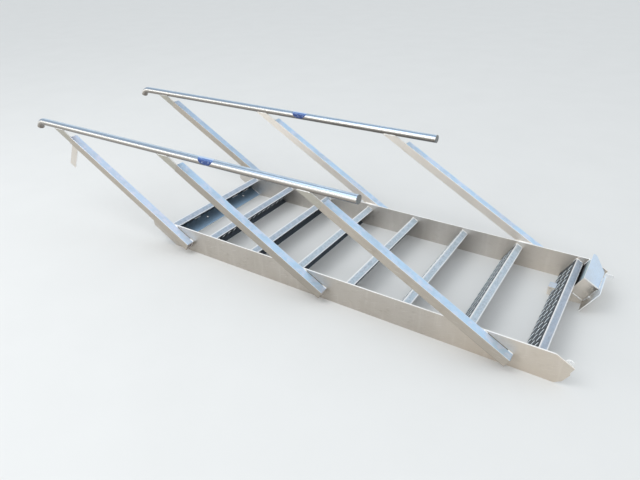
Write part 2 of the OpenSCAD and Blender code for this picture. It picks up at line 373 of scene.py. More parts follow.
# %% Marks on the side bars
STRINGER_TOP = 0.120
STRINGER_T = 0.005
POST_SPACING = 0.373  # level distance from post to post
POST_FRONTS = [0.033 + k * POST_SPACING for k in range(3)]  # level distance of each post's front
POST_FOOT_Z = 0.057  # a post's lower front corner over the floor
FOOT_X = in_use(POST_FRONTS[0], 0.0, upright_to(POST_FOOT_Z, POST_FRONTS[0]))[0]


def washed_runs(f):
    """Faint pale runs across the bar, drawn out in height."""
    runs = f.noise(f.turned((1.0, 1.0, 0.12)), 38.0, 3.0).above(0.52, 0.72)
    return runs * 0.16, (0.80, 0.77, 0.72)


def lit_inner_faces(f):
    """Painted light: the inner faces are paler and greyer, in wide clouds."""
    inside = off_middle(f).below(HALF + 0.0005, HALF + 0.0015)
    clouds = f.noise(f.turned((1.0, 1.0, 0.6)), 5.0, 4.0).above(0.30, 0.75)
    return inside * (clouds * 0.24 + 0.16), (0.86, 0.84, 0.82)


def lit_toe(f):
    """Painted light: the bars get paler and warmer towards the toe."""
    toe = f.far_along(ALONG, NOSING_X + 1.27).above(0.0, 0.35)
    return toe * 0.30, (0.96, 0.83, 0.68)


def post_foot_shade(f):
    """Painted shade, in patches, within 30 mm of each post's lower front corner."""
    dx = f.far_along(ALONG, FOOT_X + 0.010).wrapped(POST_SPACING / COS)
    dz = f.far_along(UP, POST_FOOT_Z - 0.005)
    near = ((dx * dx + dz * dz) ** 0.5).below(0.004, 0.032)
    outside = off_middle(f).above(HALF + 0.003, HALF + 0.004)
    patches = f.noise(f.place, 55.0, 4.0).above(0.30, 0.60)
    return near * outside * patches * 0.22, (0.26, 0.22, 0.17)


def top_edge_highlight(f):
    """Painted highlight on the last 2 mm below the top edge, as bright as the edge itself."""
    return f.far_along(UP).above(STRINGER_TOP - 0.0028, STRINGER_TOP - 0.0014) * 0.80, CUT_AND_HIGHLIGHT


# Painted highlight: the near white tone on faces that look up, which are the bars' top edges.
stringer_metal = aluminium(
    "stringer_sheet", (0.54, 0.50, 0.45), [(UP, (0.95, 0.95, 0.95))], (0.6, 10.0, 14.0),
    grime=0.35, flat=ACROSS, marks=[washed_runs, lit_inner_faces, lit_toe, post_foot_shade, top_edge_highlight])

# %% [markdown]
# ## Fronts of the posts
# The posts are square tube, welded to the outer faces of the side bars. Their fronts look at the
# sky, whose bluish white reflection is painted on them, with a lilac bloom, and a painted highlight
# runs along the long edges. A face's direction and its distance from the post's axis pick these out,
# so one finish serves six posts and no mesh has to be cut.

# %% Marks on the posts' fronts
POST_WIDTH = 0.040
POST_DEPTH = 0.038
POST_MIDDLE = HALF + STRINGER_T + POST_WIDTH / 2
POST_AXES = [front - POST_DEPTH / 2 for front in POST_FRONTS]
BELOW_TOP_POSTS = 0.200  # level distance, between top and middle posts
ALONG_POST = PITCH - math.pi / 2


def washed_front(f):
    """1 on faces that look up as stored, as the posts' fronts do."""
    return f.facing(UP).above(0.40, 0.80)


def top_posts(f):
    """1 on the top pair of posts, 0 on the two pairs below it."""
    return level_from(f, BELOW_TOP_POSTS).below(0.0, 0.050)


def lilac_clouds(f):
    """A faint lilac bloom in long clouds on the fronts, and all over the left top post's."""
    bloom = f.noise(f.turned((4.0, 4.0, 0.6), ALONG_POST), 9.0, 3.0).above(0.42, 0.68)
    left = f.far_along(LEFT).above(0.0, 0.004)
    return (bloom * 0.42 + top_posts(f) * left * 0.28) * washed_front(f), (0.88, 0.86, 0.99)


def dull_far_post(f):
    """The right top post's front is a little greyer than the others."""
    right = f.far_along(ACROSS).above(0.0, 0.004)
    return top_posts(f) * right * washed_front(f) * 0.30, (0.33, 0.40, 0.50)


def shoulder_highlights(f):
    """Painted highlight along the long edges of a front: within 4 mm of its sides, 20 mm from its
    middle.
    """
    across = (off_middle(f) - POST_MIDDLE).size()
    return across.above(0.0155, 0.0195) * f.facing(UP).above(0.30, 0.60) * 0.60, (0.93, 0.95, 0.98)


print("axes of the posts at levels", [round(axis, 3) for axis in POST_AXES])

# %% [markdown]
# ## Sides and ends of the posts
# Sides that face away from the sky are beige, and painted light and painted shade make them differ a
# little from post to post. A painted shadow line runs down the rear edge where a post lies against
# the side bar, and the open ends show paler walls. The brackets and the tie are flat bar with a like
# finish, so they follow here.

# %% Marks on the posts' sides, and three finishes
def lit_right_posts(f):
    """Painted light on the two lower posts on the right and their brackets:
    sides that face the stair are pale.
    """
    right = f.far_along(ACROSS, HALF).above(0.0, 0.004)
    inward = f.facing(LEFT).above(0.40, 0.80)
    return right * (1.0 - top_posts(f)) * inward * 0.80, (1.0, 0.93, 0.85)


def shaded_middle_post(f):
    """Painted shade: the middle post on the left is a little greyer than the others."""
    middle = level_from(f, POST_AXES[1]).size().below(0.040, 0.060)
    left = f.far_along(ACROSS).below(-0.010, 0.010)
    outward = f.facing(LEFT).above(0.40, 0.80)
    return middle * left * outward * 0.40, (0.30, 0.28, 0.25)


def rear_edge_shadow(f):
    """A painted shadow line down each post's rear edge, only where the side bar stands behind it."""
    rear = POST_FRONTS[0] - POST_DEPTH
    edge = level_from(f, rear).wrapped(POST_SPACING).size().below(0.0012, 0.0034)
    low = f.far_along(UP, STRINGER_TOP - 0.002).below(0.0, 0.004)
    return edge * low * 0.60, (0.13, 0.11, 0.09)


def pale_inner_walls(f):
    """The walls inside a post's open ends: nearer to its axis than 17 mm across and 16 mm along."""
    across = (off_middle(f) - POST_MIDDLE).size()
    ahead = level_from(f, POST_AXES[0]).wrapped(POST_SPACING).size()
    return across.below(0.0173, 0.0180) * ahead.below(0.0163, 0.0172), (0.92, 0.88, 0.86)


# Painted light: the bluish tone on faces that look up is the sky's reflection.
post_metal = aluminium(
    "post_tube", (0.50, 0.45, 0.385), [(UP, (0.56, 0.77, 0.99))], (30.0, 30.0, 0.8), ALONG_POST,
    grime=0.35, marks=[lilac_clouds, dull_far_post, shoulder_highlights, lit_right_posts, shaded_middle_post,
                       rear_edge_shadow, pale_inner_walls])
# Painted light: the bluish tones on faces that look up stand for the sky's reflection.
bracket_metal = aluminium(
    "bracket_bar", (0.47, 0.45, 0.39), [(UP, (0.62, 0.66, 0.72))], (30.0, 30.0, 0.8), ALONG_POST,
    grime=0.3, flat=ACROSS, marks=[lit_right_posts])
flat_metal = aluminium(
    "flat_bar", (0.74, 0.69, 0.63), [(UP, (0.72, 0.77, 0.84))], (30.0, 30.0, 0.8), ALONG_POST,
    grime=0.3, flat=ACROSS)

# %% [markdown]
# ## Lips of the treads
# A tread is one folded sheet, and as stored its front lip looks up and ahead. The lip's face is a
# little grooved, with scuffs and lilac patches. Noise of two sizes does that: fine and slanted for
# the scuffs, coarse and round for the patches. From the top of the stair to its foot the lips also
# change in tone, which a distance along the stair gives; the last lip's greyer tone is painted shade.

# %% Marks on the lips
def on_lips(f):
    """1 on faces that look ahead in use, as the lips do."""
    return f.facing(AHEAD).above(0.35, 0.80)


def lip_grooves(f):
    """Shallow grooves across the lips: a sine across the stair, 7 mm from crest to crest."""
    wave = (f.far_along(ACROSS) * (2 * math.pi / 0.007)).math("SINE")
    return wave.above(-0.2, 0.9) * on_lips(f) * 0.12, (0.36, 0.40, 0.46)


def bloomed_lips(f):
    """Paler, lilac patches a few centimetres wide on the lips."""
    bloom = f.noise(f.place, 48.0, 4.0, 0.65).above(0.36, 0.64) * 0.35
    return bloom * on_lips(f), (0.80, 0.79, 0.90)


def paler_lower_lips(f):
    """From the third lip on they are a little paler and bluer."""
    lower = f.far_along(ALONG, NOSING_X).above(0.35, 0.75)
    return lower * on_lips(f) * 0.20, (0.86, 1.0, 1.0)


def shaded_last_lip(f):
    """Painted shade: the last lip is greyer again."""
    last = f.far_along(ALONG, NOSING_X).above(1.60, 1.68)
    return last * on_lips(f) * 0.36, (0.28, 0.30, 0.42)


def scuffed_lips(f):
    """Grey scuffs on the lips, in small slanted patches."""
    scuffs = f.noise(f.turned((1.0, 0.6, 1.6), 0.5), 130.0, 5.0, 0.75).above(0.50, 0.60)
    return scuffs * on_lips(f) * 0.34, (0.28, 0.29, 0.34)


lip_marks = [lip_grooves, bloomed_lips, paler_lower_lips, shaded_last_lip, scuffed_lips]
print("marks on the lips:", [mark.__name__ for mark in lip_marks])

# %% [markdown]
# ## Bends and hidden faces of the treads
# Painted highlights run along the bends and cut lower edges of a lip, and the lips' bluish tone is a
# painted sky reflection. The tread's top, underside and inner faces are painted dark as shade, while
# the ridges pressed up from it have their own finish, with painted highlights on their crowns and
# painted shade on their flanks. The treads are all alike, so each mark is measured on one tread and
# wrapped by the step.

# %% Marks on bends and hidden faces, and two finishes
BACK_LIP = 0.026
LIP_STEP = TREAD_STEP * SIN


def bend_highlights(f):
    """Painted highlights: two lines on each front lip, along the nosing and along the lower edge."""
    up = up_from(f).wrapped(LIP_STEP)
    top = up.size().below(0.0015, 0.0085)
    low = (up + LIP).size().below(0.0020, 0.0062)
    return (top * 0.95 + low * 0.75).limited() * on_lips(f), (1.0, 1.0, 1.0)


def shade_behind_lips(f):
    """Painted shade on faces that look ahead but lie behind the front lips."""
    behind = level_from(f).wrapped(TREAD_STEP * COS).size().above(0.0035, 0.0060)
    return behind * f.facing(AHEAD).above(0.30, 0.70) * 0.92, (0.095, 0.115, 0.14)


def lower_edge_highlights(f):
    """Painted highlights on the cut lower edges of both lips, which face the ground in use."""
    up = up_from(f).wrapped(LIP_STEP)
    low = (up + LIP).size().below(0.0010, 0.0020)
    back = (up + BACK_LIP).size().below(0.0010, 0.0020)
    return (low + back).limited() * f.facing(UNDER).above(0.60, 0.90), (0.92, 0.95, 0.98)


# Painted light: the lips' bluish tone stands for the sky's reflection, and the near black tones on the
# top and the underside are painted shade.
tread_metal = aluminium(
    "tread_sheet", (0.50, 0.53, 0.57),
    [(AHEAD, (0.44, 0.555, 0.675)), (OVER, (0.042, 0.060, 0.080)), (UNDER, (0.055, 0.062, 0.075))],
    (14.0, 0.6, 14.0), rough=0.45, grime=0.4,
    marks=lip_marks + [bend_highlights, shade_behind_lips, lower_edge_highlights])
# Painted light: a painted highlight on the crowns, which look up, and painted shade on the flanks.
ridge_metal = aluminium(
    "tread_ridge", (0.12, 0.16, 0.20), [(OVER, (0.92, 0.98, 1.0))], (14.0, 14.0, 14.0),
    rough=0.40, grime=0.3)

# %% [markdown]
# ## End plate and foot bracket
# The end plate stands close under the top tread, whose shade is painted on the plate's upper part.
# The foot bracket is a welded box with a face plate, a sole plate and two small lugs. Dirt has settled
# low on the box. The last tread's shade is painted on the box's top, with a sky reflection painted
# nearer the face plate, so that mark gets its colour from a blend. Light is painted on the front of
# the sole plate.

# %% Marks on the end plate and the foot bracket
LAST_LEVEL = (TREADS - 1) * TREAD_STEP * COS
LAST_UP = -(TREADS - 1) * TREAD_STEP * SIN
TOE_LEVEL = LAST_LEVEL + 0.040  # front of the foot box
BOX_DEEP = 0.085
BOX_TOP = LAST_UP - 0.038
BOX_LOW = BOX_TOP - 0.068


def shaded_top(f):
    """Painted shade on the end plate's upper part, close under the top tread."""
    return up_from(f, -0.085).above(0.0, 0.070) * 0.70, (0.08, 0.10, 0.12)


def box_dirt(f):
    """Low on the foot box, and more towards its front."""
    low = up_from(f, BOX_LOW).below(0.004, 0.046)
    front = level_from(f, TOE_LEVEL - 0.070).above(0.0, 0.065)
    patches = f.noise(f.place, 42.0, 5.0, 0.65).above(0.30, 0.52)
    return low * (front * 0.85 + 0.15) * patches * 0.85, (0.15, 0.14, 0.12)


def shade_under_last_lip(f):
    """The foot box's top: painted shade, near black under the last tread's lip, and a painted
    grey-blue sky reflection at the face plate.
    """
    ahead = level_from(f, TOE_LEVEL)
    top = f.facing(OVER).above(0.60, 0.90) * ahead.above(-BOX_DEEP - 0.0005, -BOX_DEEP + 0.0005)
    return top, f.blend(ahead.above(-0.032, -0.003), (0.012, 0.014, 0.015), (0.55, 0.69, 0.73))


def lit_sole_front(f):
    """Painted light: the sole plate gets bluish white towards its front, most so ahead of the face
    plate.
    """
    return level_from(f, TOE_LEVEL).above(-0.055, 0.004) * 0.90, (0.86, 0.93, 1.0)


# Painted light: the bluish tones of these plates stand for the sky's reflection, and the near white
# side tone of the foot box lightens it against its shade.
plate_metal = aluminium(
    "end_plate", (0.36, 0.55, 0.75), [(AHEAD, (0.40, 0.60, 0.82))], (14.0, 0.6, 14.0),
    flat=AHEAD, marks=[shaded_top])
foot_metal = aluminium(
    "foot_sheet", (0.97, 0.90, 0.81), [(UP, (0.62, 0.73, 0.88))], (12.0, 1.0, 12.0), PITCH,
    grime=0.45, marks=[box_dirt, shade_under_last_lip])
face_metal = aluminium(
    "foot_plate", (0.72, 0.72, 0.70), [(UP, (0.68, 0.81, 0.96))], (12.0, 1.0, 12.0), PITCH,
    grime=0.30, flat=AHEAD)
sole_metal = aluminium(
    "sole_sheet", (0.62, 0.58, 0.52), [(UP, (0.62, 0.64, 0.66))], (12.0, 1.0, 12.0), PITCH,
    grime=0.6, flat=OVER, marks=[lit_sole_front])
lug_metal = aluminium(
    "lug_plate", (0.90, 0.91, 0.92), [(UP, (0.88, 0.93, 1.0))], (12.0, 12.0, 1.0),
    grime=0.2, flat=ACROSS)

# %% [markdown]
# ## Handrail tube
# The handrails are smoother than the sheet. Their tones are painted light: a bluish sky reflection
# on the upper side with a painted highlight on the crown, a painted white highlight band on the
# shoulders, and painted shade on the underside. All of this goes with how far a face looks up, so
# that alone blends the tones, and the bends match the straight tubes.

# %% The rail finish
def rail_tube():
    """Painted light and shade by how far a face looks up, then lines from drawing the tube, and spots.
    """
    f = Finish("rail_tube")
    drawn = f.noise(f.turned((0.35, 24.0, 24.0)), 22.0, 2.0)
    bands = f.noise(f.turned((2.5, 0.5, 0.5)), 9.0, 3.0)
    spots = f.noise(f.place, 60.0, 4.0, 0.7).above(0.64, 0.78)
    upward = f.facing(UP)
    under = f.facing((0.0, 0.0, -1.0))
    # Painted light: a white highlight band on the shoulders, a bluish sky reflection above.
    tone = f.blend(upward.above(0.44, 0.66), (0.90, 0.88, 0.84), (0.30, 0.385, 0.49))
    # Painted highlight on the crown.
    crown = upward.above(0.90, 0.985) * (bands.above(0.40, 0.60) * 0.20 + 0.70)
    crowned = f.blend(crown, tone, (0.66, 0.80, 0.95))
    # Painted shade: warm below the shoulders, darker still on the underside.
    warm = f.blend(upward.below(-0.02, 0.30) * 0.90, crowned, (0.29, 0.255, 0.22))
    shaded = f.blend(under.above(0.10, 0.50) * 0.80, warm, (0.16, 0.14, 0.12))
    streaked = f.blend(drawn.above(0.45, 0.80) * 0.18, shaded, (0.50, 0.50, 0.52))
    spotted = f.blend(spots * 0.30, streaked, (0.34, 0.33, 0.32))
    roughness = drawn * 0.06 + bands * 0.14 + spots * 0.2 + 0.16
    bump = f.relief(bands + drawn * 0.04, 0.0003, 0.3)
    f.feed(Base_Color=spotted, Roughness=roughness.limited(), Normal=bump)
    f.set(Metallic=0.9)
    return f.material


rail_metal = rail_tube()
print("rail finish has", len(rail_metal.node_tree.nodes), "nodes")

# %% [markdown]
# ## Weld metal and seam dirt
# Weld metal is brighter than the sheet and finely rippled: the drops are real shapes, and a bump
# adds only what is finer. Open seams between the welds hold dark, matt dirt.

# %% Finishes of welds and seams
def weld_metal():
    """Bright metal in clouds of two tones, with a fine ripple."""
    f = Finish("weld_bead")
    ripple = f.noise(f.place, 420.0, 2.0)
    clouds = f.noise(f.place, 60.0, 3.0)
    colour = f.blend(clouds.above(0.45, 0.75), (0.93, 0.93, 0.92), (0.60, 0.57, 0.52))
    f.feed(Base_Color=colour, Roughness=clouds * 0.25 + 0.25, Normal=f.relief(ripple, 0.0006, 0.7))
    f.set(Metallic=0.9)
    return f.material


def seam_dirt():
    """Dark earth, lighter where it is dry."""
    f = Finish("seam_dirt")
    damp = f.noise(f.place, 80.0, 4.0)
    colour = f.blend(damp.above(0.3, 0.7), (0.06, 0.05, 0.04), (0.22, 0.19, 0.15))
    f.feed(Base_Color=colour, Roughness=damp * 0.2 + 0.7, Normal=f.relief(damp, 0.0004, 0.6))
    return f.material


weld = weld_metal()
dirt = seam_dirt()
print("weld finish has", len(weld.node_tree.nodes), "nodes")

# %% [markdown]
# ## Plugs, bolt and patches
# The rail plugs are grey plastic with dust. The bolt is dull zinc, whose crystals are cells of many
# greys, with a little rust. The patches on the rails are glossy blue film with scuffs; painted shade
# makes them deep blue below, and a painted sky reflection makes them pale at the top.

# %% Finishes of plugs, bolt and patches
def plug_plastic():
    """Grey plastic under uneven dust."""
    f = Finish("rail_plug")
    grain = f.noise(f.place, 900.0, 2.0)
    dust = f.noise(f.place, 45.0, 4.0).above(0.4, 0.8)
    colour = f.blend(dust, (0.16, 0.175, 0.18), (0.27, 0.265, 0.25))
    f.feed(Base_Color=colour, Roughness=dust * 0.3 + 0.38, Normal=f.relief(grain, 0.0001, 0.5))
    return f.material


def zinc():
    """Crystals between two greys, stained by rust."""
    f = Finish("bolt")
    spangle = f.cells(f.place, 420.0, "Color")
    grey = f.add("ShaderNodeRGBToBW", {}, {"Color": spangle})
    rust = f.noise(f.place, 120.0, 4.0).above(0.58, 0.72)
    colour = f.blend(grey, (0.78, 0.79, 0.79), (0.98, 0.98, 0.97))
    stained = f.blend(rust * 0.35, colour, (0.22, 0.12, 0.07))
    f.feed(Base_Color=stained, Roughness=rust * 0.35 + 0.32, Normal=f.relief(grey, 0.0001, 0.4))
    f.set(Metallic=0.85)
    return f.material


def patch_film():
    """Blue film in three tones by how far it looks up, painted shade below and a painted sky
    reflection at the top, then scuffs.
    """
    f = Finish("patch_film")
    scuff = f.noise(f.turned((16.0, 30.0, 30.0)), 6.0, 5.0, 0.7).above(0.56, 0.66)
    fade = f.noise(f.place, 30.0, 3.0)
    upward = f.facing(UP)
    deep = f.blend(fade, (0.006, 0.030, 0.16), (0.014, 0.060, 0.24))
    # Painted shade: deep blue below, mid blue where the film looks up.
    blue = f.blend(upward.above(0.40, 0.82), deep, (0.085, 0.18, 0.46))
    # Painted sky reflection along the top.
    sheen = f.blend(upward.above(0.88, 0.975) * 0.72, blue, (0.64, 0.80, 0.96))
    worn = f.blend(scuff * 0.80, sheen, (0.66, 0.74, 0.86))
    bump = f.relief(fade + scuff, 0.0001, 0.4)
    f.feed(Base_Color=worn, Roughness=scuff * 0.3 + 0.28, Normal=bump)
    return f.material


plug = plug_plastic()
bolt_metal = zinc()
patch = patch_film()
print("finishes:", [m.name for m in bpy.data.materials])

# %% [markdown]
# ## Dress the solids
# Each solid gets its finish through its material slot, and those with a width in the edge table get
# a small bevel. A sawn edge is never perfectly sharp, and the narrow band that a bevel leaves catches
# the light as the real edge does.
# A solid comes as loose triangles, so a Weld modifier joins them before the bevel.

# %% Finishes and broken edges
FINISH_OF = {
    "stringer": stringer_metal, "tread": tread_metal, "post": post_metal,
    "handrail": rail_metal, "rail_bend": rail_metal, "rail_plug": plug,
    "rail_bracket": bracket_metal, "landing_tie": flat_metal, "end_plate": plate_metal,
    "foot_box": foot_metal, "runner": foot_metal, "foot_face": face_metal,
    "sole_plate": sole_metal, "sole_bolt": bolt_metal,
    "foot_eye": lug_metal, "foot_tongue": lug_metal,
}
EDGE_WIDTH = {
    "stringer": 0.0009, "post": 0.0020, "rail_bracket": 0.0006, "landing_tie": 0.0006,
    "foot_box": 0.0015, "foot_face": 0.0007, "sole_plate": 0.0007, "runner": 0.0015,
    "foot_eye": 0.0006, "foot_tongue": 0.0006, "sole_bolt": 0.0008, "rail_plug": 0.0014,
}


def look_up(table, name, missing=None):
    """The table's value for the kind that this piece's name starts with."""
    return next((value for kind, value in table.items() if name.startswith(kind)), missing)


def dress(name, piece):
    """Puts the finish in the slot and, where a width is given, breaks the edges."""
    piece.data.materials.clear()
    piece.data.materials.append(look_up(FINISH_OF, name))
    width = look_up(EDGE_WIDTH, name, 0.0)
    if width:
        join = piece.modifiers.new("join", "WELD")
        join.merge_threshold = 0.00001
        broken = piece.modifiers.new("broken_edge", "BEVEL")
        broken.width = width
        broken.segments = 2
        broken.limit_method = "ANGLE"
        broken.angle_limit = math.radians(40)


for name, piece in nodes.items():
    dress(name, piece)
print("dressed", len(nodes), "solids")

# %% [markdown]
# ## From arrays to a piece
# New pieces are surfaces worked out with numpy. A tube-like piece is a grid of rings: each ring is
# one row of the array, and neighbouring rows are joined by four-sided faces. Many beads make one
# mesh, so the scene has few objects.

# %% Grids to meshes
def grid_faces(rows, columns, start=0, closed=True):
    """Four-sided faces between neighbouring rows; closed joins the last column to the first."""
    last = columns if closed else columns - 1
    i, j = np.meshgrid(np.arange(rows - 1), np.arange(last), indexing="ij")
    k = (j + 1) % columns
    here, ahead = i * columns, (i + 1) * columns
    quads = np.stack([here + j, here + k, ahead + k, ahead + j], axis=-1)
    return quads.reshape(-1, 4) + start


def make_piece(name, points, faces, finish):
    """One smooth mesh object at the origin, from an array of points and a list of faces."""
    mesh = bpy.data.meshes.new(name)
    corners = [list(map(int, face)) for face in faces]
    mesh.from_pydata(np.asarray(points, float).tolist(), [], corners)
    mesh.validate()
    mesh.polygons.foreach_set("use_smooth", [True] * len(mesh.polygons))
    mesh.materials.append(finish)
    piece = bpy.data.objects.new(name, mesh)
    bpy.context.scene.collection.objects.link(piece)
    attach(piece, "root")
    print(name, len(mesh.polygons), "faces")


print("three rings of four points:", len(grid_faces(3, 4)), "faces")

# %% [markdown]
# ## Weld beads
# Where two plates meet in a corner, a welder lays a bead of small overlapping drops. The bead here
# is a tube along the corner whose radius swells and shrinks once per drop, half sunk in the metal.
# A bump in the material could draw the drops too, but it wouldn't fill the corner. A bead's path is
# given by its points.

# %% Beads along corners
DROP = 0.0045  # from one drop to the next
SIDES = 7


def bead(points, radius):
    """Rings round a path: its centre plus radius times (cos, sin) in two directions square to it.
    There are two rings per drop, by turns 0.90 and 1.03 of the radius, with a slow sine added."""
    points = np.asarray(points, float)
    step = np.linalg.norm(np.diff(points, axis=0), axis=1)
    length = np.concatenate([[0.0], np.cumsum(step)])
    count = max(4, int(length[-1] / (DROP / 2)))
    s = np.linspace(0.0, length[-1], count)
    centre = np.stack([np.interp(s, length, points[:, k]) for k in range(3)], axis=1)
    ahead = np.gradient(centre, axis=0)
    ahead /= np.linalg.norm(ahead, axis=1, keepdims=True)
    helper = np.where(np.abs(ahead[:, 1:2]) < 0.9, [[0.0, 1.0, 0.0]], [[1.0, 0.0, 0.0]])
    side = np.cross(ahead, helper)
    side /= np.linalg.norm(side, axis=1, keepdims=True)
    over = np.cross(ahead, side)
    order = np.arange(count)
    swell = radius * (0.90 + 0.13 * (order % 2) + 0.05 * np.sin(order * 1.7))
    swell[[0, -1]] *= 0.35
    angle = np.linspace(0.0, 2 * math.pi, SIDES, endpoint=False)[None, :, None]
    ring = np.cos(angle) * side[:, None, :] + np.sin(angle) * over[:, None, :]
    return (centre[:, None, :] + swell[:, None, None] * ring).reshape(-1, 3), count


def weld_piece(name, paths, radius, finish=weld):
    """All beads of one kind in one mesh, each closed at both ends."""
    points, faces, start = [], [], 0
    for path in paths:
        rings, count = bead(path, radius)
        end = start + len(rings)
        points.append(rings)
        faces.extend(grid_faces(count, SIDES, start).tolist())
        faces.append(list(range(start + SIDES - 1, start - 1, -1)))
        faces.append(list(range(end - SIDES, end)))
        start = end
    make_piece(name, np.concatenate(points), faces, finish)


print("a bead of 100 mm has", bead([(0, 0, 0), (0.1, 0, 0)], 0.003)[1], "rings")

# %% [markdown]
# ## Stitched posts
# A thin frame isn't welded all along, because the heat would bend it. So each post is stitched to
# its side bar with a short bead at both ends of each edge, and one across the bar's top edge. Dirt
# fills the open seam between two stitches. Lengths under 10 mm, here and below, set a bead a little
# off its corner or end it short of an edge.

# %% Stitch the posts
STITCH_LOW = 0.024  # from the post's foot
STITCH_HIGH = 0.020  # down from the bar's top edge

stitches, seams = [], []
for sign in (-1.0, 1.0):
    wall = sign * (HALF + STRINGER_T)
    off = sign * 0.0008
    for front in POST_FRONTS:
        foot = upright_to(POST_FOOT_Z, front)
        for level in (front, front - POST_DEPTH):
            edge = upright_to(STRINGER_TOP, level)
            low, high = foot + STITCH_LOW, edge - STITCH_HIGH
            stitches.append(in_use(level, wall + off, [foot + 0.001, low]))
            stitches.append(in_use(level, wall + off, [high, edge - 0.001]))
            seams.append(in_use(level, wall, [low - 0.002, high + 0.002]))
        across = [front - 0.002, front - POST_DEPTH + 0.002]
        rise = [upright_to(STRINGER_TOP + 0.0004, level) for level in across]
        stitches.append(in_use(across, wall - off, rise))
weld_piece("post_stitches", stitches, 0.0030)
weld_piece("seam_dirt", seams, 0.0016, dirt)

# %% [markdown]
# ## Brackets, rail bends and the tie
# Each bracket is welded in its post's mouth and along both sides under the rail. A ring of weld
# joins each rail to its bend, and two beads hold the tie to the left top post. The rail's underside
# at a bracket is found from its round section, as a bead there has to touch the tube.

# %% Weld the brackets, rails and tie
POST_LENGTH = 0.850
RAIL_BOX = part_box("handrail_left")
RAIL_Z = (RAIL_BOX[0][2] + RAIL_BOX[1][2]) / 2
RAIL_R = (RAIL_BOX[1][2] - RAIL_BOX[0][2]) / 2
RAIL_Y = -(RAIL_BOX[0][1] + RAIL_BOX[1][1]) / 2
BRACKET_NEAR = 0.003  # the bracket's two faces, from the post's side at the smaller y
BRACKET_FAR = 0.008
TIE_HEIGHT = 0.041
RING_STEPS = 33

bracket_paths = []
for sign in (-1.0, 1.0):
    middle = sign * POST_MIDDLE
    near = middle - POST_WIDTH / 2 + BRACKET_NEAR
    far = middle - POST_WIDTH / 2 + BRACKET_FAR
    under = RAIL_Z - math.sqrt(RAIL_R ** 2 - (middle - far) ** 2)
    for front in POST_FRONTS:
        top = upright_to(POST_FOOT_Z, front) + POST_LENGTH
        mouth = [front - POST_DEPTH + 0.005, front - 0.005]
        ends = [front - POST_DEPTH + 0.003, front - 0.005]
        rise = np.array([upright_to(under, level) for level in ends])
        bracket_paths += [in_use(mouth, far + 0.0006, top - 0.0012),
                          in_use(ends, far + 0.0012, rise - 0.0004),
                          in_use(ends, near + 0.0030, rise + 0.0012)]
    turn = np.linspace(0.0, 2 * math.pi, RING_STEPS)
    ring_r = RAIL_R - 0.0019
    ring_y = middle + ring_r * np.cos(turn)
    ring_z = RAIL_Z + ring_r * np.sin(turn)
    bracket_paths.append(np.stack([np.full(RING_STEPS, RAIL_BOX[0][0]), ring_y, ring_z], axis=1))

tie_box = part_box("landing_tie")
tie_level = POST_FRONTS[0] - POST_DEPTH - 0.0004
tie_top = upright_to(POST_FOOT_Z, POST_FRONTS[0]) + POST_LENGTH
for y in (tie_box[0][1], tie_box[1][1]):
    bracket_paths.append(in_use(tie_level, y, [tie_top - TIE_HEIGHT + 0.002, tie_top - 0.002]))
weld_piece("bracket_welds", bracket_paths, 0.0021)

# %% [markdown]
# ## Treads and end plate
# Each tread has a hook-shaped bead over its nosing at both ends, and one under its top. The end
# plate is welded to both side bars, and to the top tread with five short beads. The top tread is
# shallower than the others, as the end plate stands close behind it.

# %% Weld the treads and the end plate
TREAD_DEPTHS = [0.076] + [0.108] * (TREADS - 1)
HOOK_LEVEL = [0.0010, 0.0012, 0.0002, -0.004, -0.022]
HOOK_UP = [-LIP + 0.002, -0.004, 0.0002, 0.0012, 0.0008]
PLATE_LEVEL = -0.081  # the end plate's rear face
PLATE_T = 0.005
PLATE_STITCHES = (-0.30, -0.14, 0.02, 0.16, 0.255)  # starts, in y
STITCH = 0.045

tread_paths = []
for tread, depth in enumerate(TREAD_DEPTHS, 1):
    for sign in (-1.0, 1.0):
        y = sign * (HALF - 0.0010)
        tread_paths.append(in_use(HOOK_LEVEL, y, HOOK_UP, tread))
        tread_paths.append(in_use([-0.006, -depth + 0.008], y, -0.0038, tread))
weld_piece("tread_welds", tread_paths, 0.0026)

plate_front = PLATE_LEVEL + PLATE_T
plate_low = upright_to(0.0, PLATE_LEVEL) + 0.004
plate_paths = []
for sign in (-1.0, 1.0):
    plate_paths.append(in_use(plate_front + 0.0008, sign * (HALF - 0.0008), [plate_low, -0.008]))
for start in PLATE_STITCHES:
    plate_paths.append(in_use(plate_front + 0.0010, [start, start + STITCH], -0.0040))
weld_piece("end_plate_welds", plate_paths, 0.0024)

# %% [markdown]
# ## Foot bracket
# The box at the toe is welded up from plate, so beads run along its rear and lower edges, against
# the side bar, at the face plate and on the sole plate. One more holds the eye at the other toe.

